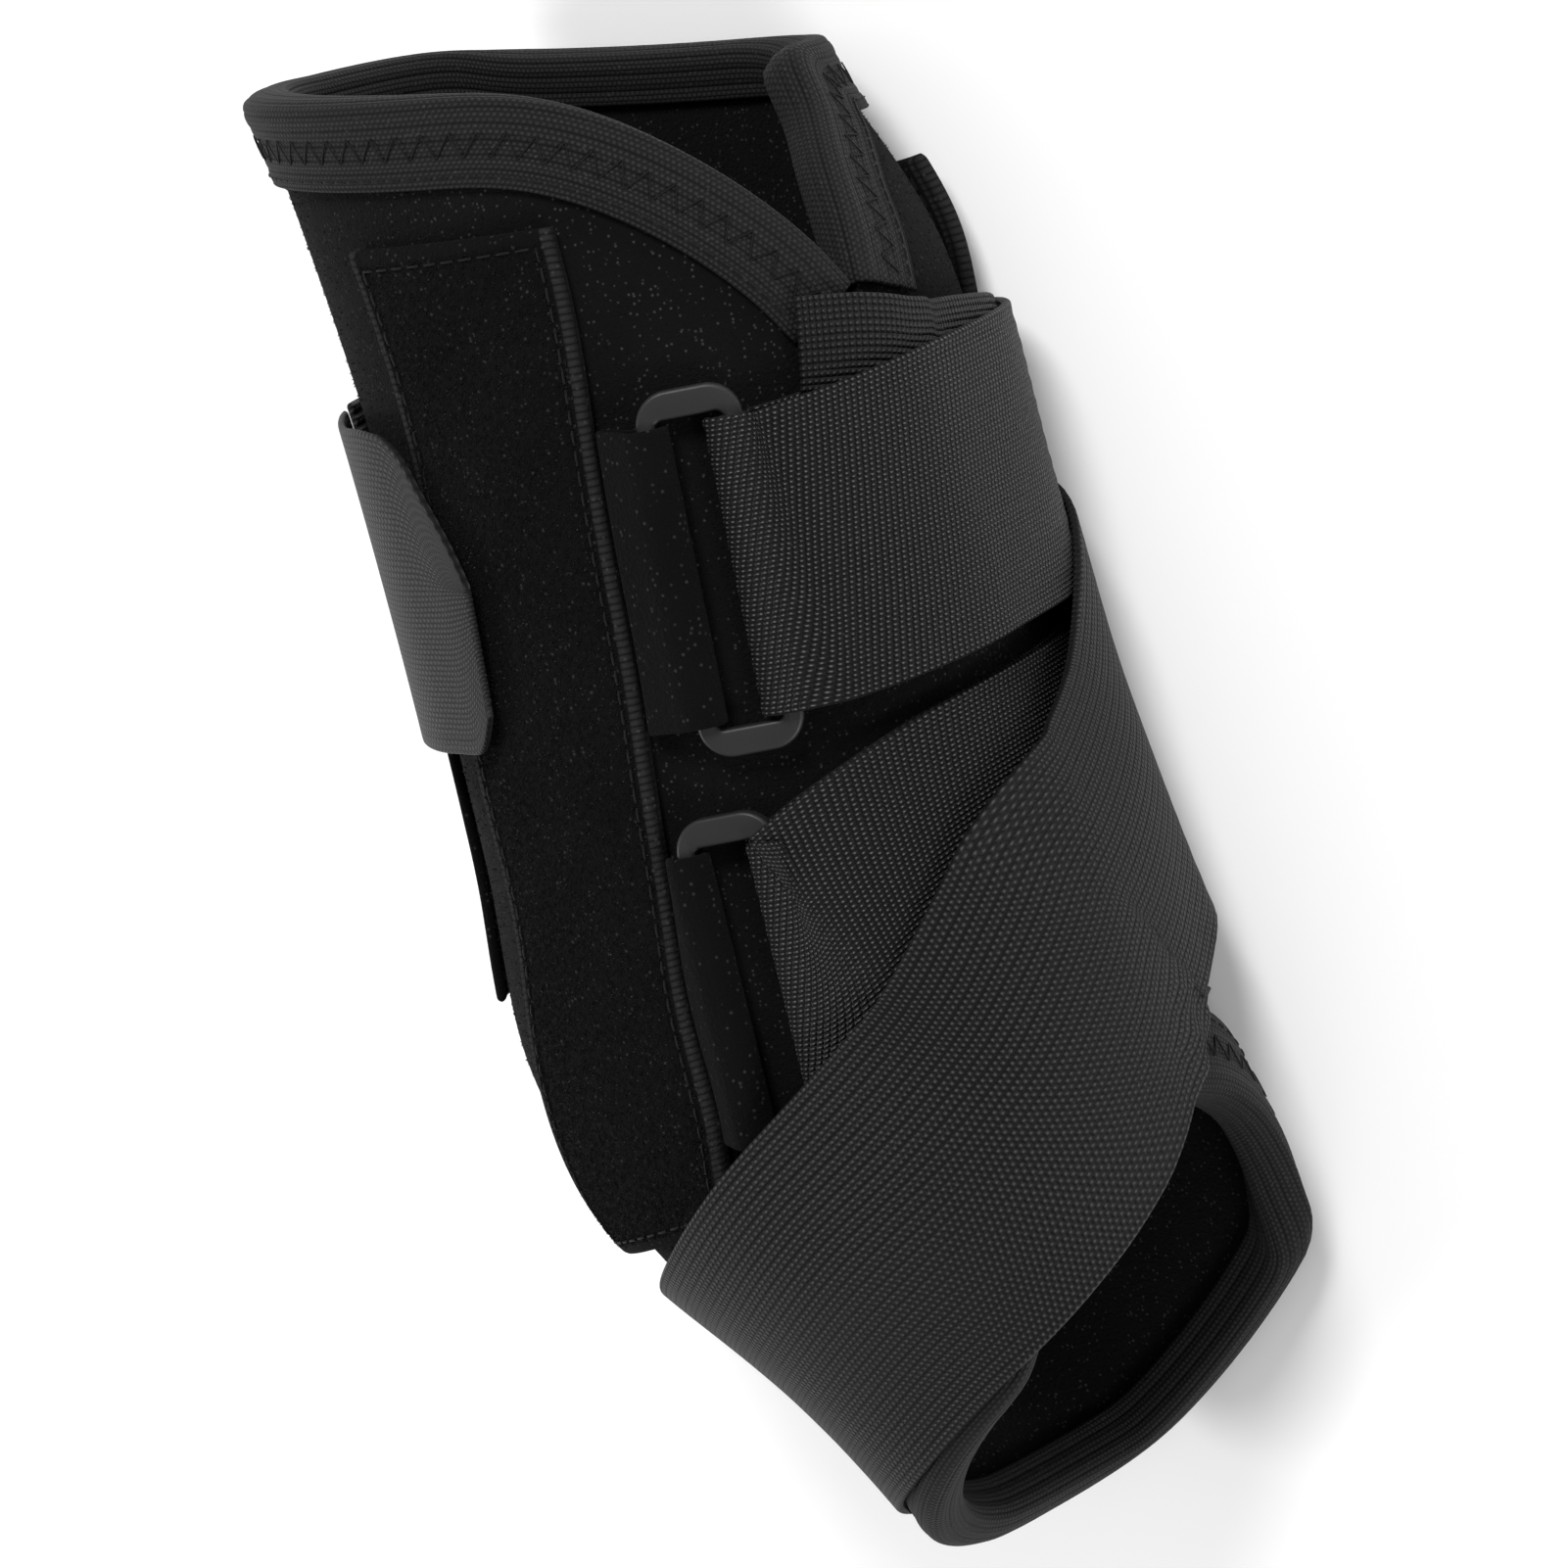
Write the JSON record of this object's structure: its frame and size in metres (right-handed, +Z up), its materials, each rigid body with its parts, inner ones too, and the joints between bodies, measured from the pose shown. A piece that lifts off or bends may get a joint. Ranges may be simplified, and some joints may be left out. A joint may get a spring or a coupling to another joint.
{
  "type": "ankle stabilizer",
  "caption": "Soft open-heel ankle brace lying on its side: fleece tube with front notch, stay panels, straps turned through flat rings and a wide elastic wrap ending in a hook tab.",
  "frame": {"origin": "middle of the object's box in plan, at the floor it lies on", "axes": "+Y up the leg, +X to the front of the leg, +Z up from the floor"},
  "size_m": [0.115, 0.2422, 0.0878],
  "materials": {
    "sleeve": "fleece-faced padded cloth",
    "top_binding": "ribbed binding tape",
    "foot_binding": "ribbed binding tape",
    "near_stay_panel": "loop pile over a stay",
    "far_stay_panel": "loop pile over a stay",
    "back_pile_patch": "loop pile",
    "upper_ring_tab": "pile webbing",
    "lower_ring_tab": "pile webbing",
    "upper_ring": "moulded, satin",
    "lower_ring": "moulded, satin",
    "upper_strap": "fine twill webbing",
    "lower_strap": "fine twill webbing",
    "closure_tab": "ribbed webbing",
    "wrap_strap": "ribbed woven elastic",
    "hook_tab": "moulded hook tape"
  },
  "bodies": {
    "root": {"sleeve": "sleeve", "top_binding": "top_binding", "foot_binding": "foot_binding", "near_stay_panel": "near_stay_panel", "far_stay_panel": "far_stay_panel", "back_pile_patch": "back_pile_patch", "upper_ring_tab": "upper_ring_tab", "lower_ring_tab": "lower_ring_tab", "upper_ring": "upper_ring", "lower_ring": "lower_ring", "upper_strap": "upper_strap", "lower_strap": "lower_strap", "closure_tab": "closure_tab", "wrap_strap": "wrap_strap", "hook_tab": "hook_tab"}
  },
  "joints": []
}
